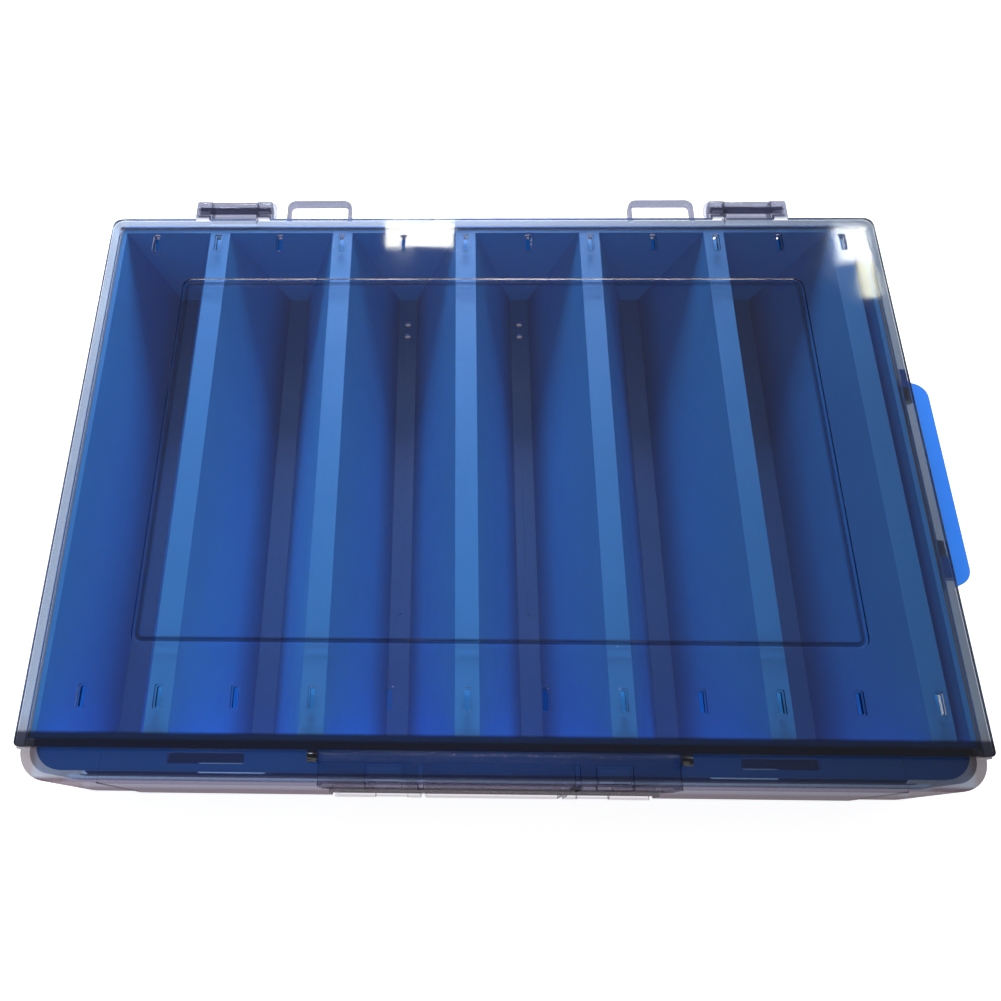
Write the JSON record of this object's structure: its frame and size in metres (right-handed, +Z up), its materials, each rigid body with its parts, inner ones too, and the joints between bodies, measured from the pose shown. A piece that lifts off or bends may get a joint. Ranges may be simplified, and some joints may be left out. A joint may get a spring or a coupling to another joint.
{
  "type": "double-sided lure box",
  "caption": "Flat double-sided lure box: smoke-clear frame and hinged lids, snap latches, blue zigzag partition tray and a side bail handle.",
  "frame": {"origin": "centre of the lower lid's outer face, on which the closed box rests", "axes": "+X along the length towards the handle, +Y towards the hinges, +Z up"},
  "size_m": [0.289, 0.2039, 0.046],
  "materials": {
    "smoke_clear": "gloss",
    "smoke_clear_lid": "gloss",
    "smoke_clear_latch": "gloss",
    "smoke_clear_pin": "gloss",
    "blue_tray": "satin",
    "blue_handle": "satin"
  },
  "bodies": {
    "case": {"outer_frame": "smoke_clear", "partition_tray": "blue_tray", "upper_hinge_pin_left": "smoke_clear_pin", "upper_hinge_pin_right": "smoke_clear_pin", "lower_hinge_pin_left": "smoke_clear_pin", "lower_hinge_pin_right": "smoke_clear_pin"},
    "upper_cover": {"upper_lid": "smoke_clear_lid"},
    "lower_cover": {"lower_lid": "smoke_clear_lid"},
    "upper_clasp": {"upper_latch": "smoke_clear_latch"},
    "lower_clasp": {"lower_latch": "smoke_clear_latch"},
    "handle": {"carry_handle": "blue_handle"}
  },
  "joints": [
    {"name": "upper_lid_hinge", "type": "hinge", "parent": "case", "child": "upper_cover", "pos_m": [0, 0.1031, 0.0428], "axis": [-1, 0, 0], "range_deg": [0, 180]},
    {"name": "lower_lid_hinge", "type": "hinge", "parent": "case", "child": "lower_cover", "pos_m": [0, 0.1031, 0.0032], "axis": [1, 0, 0], "range_deg": [0, 180]},
    {"name": "upper_latch_pivot", "type": "hinge", "parent": "upper_cover", "child": "upper_clasp", "pos_m": [0, -0.0896, 0.04445], "axis": [-1, 0, 0], "range_deg": [0, 100]},
    {"name": "lower_latch_pivot", "type": "hinge", "parent": "lower_cover", "child": "lower_clasp", "pos_m": [0, -0.0896, 0.00155], "axis": [1, 0, 0], "range_deg": [0, 100]},
    {"name": "handle_swing", "type": "hinge", "parent": "case", "child": "handle", "pos_m": [0.1395, 0.00445, 0.023], "axis": [0, 1, 0], "range_deg": [-85, 85]}
  ]
}
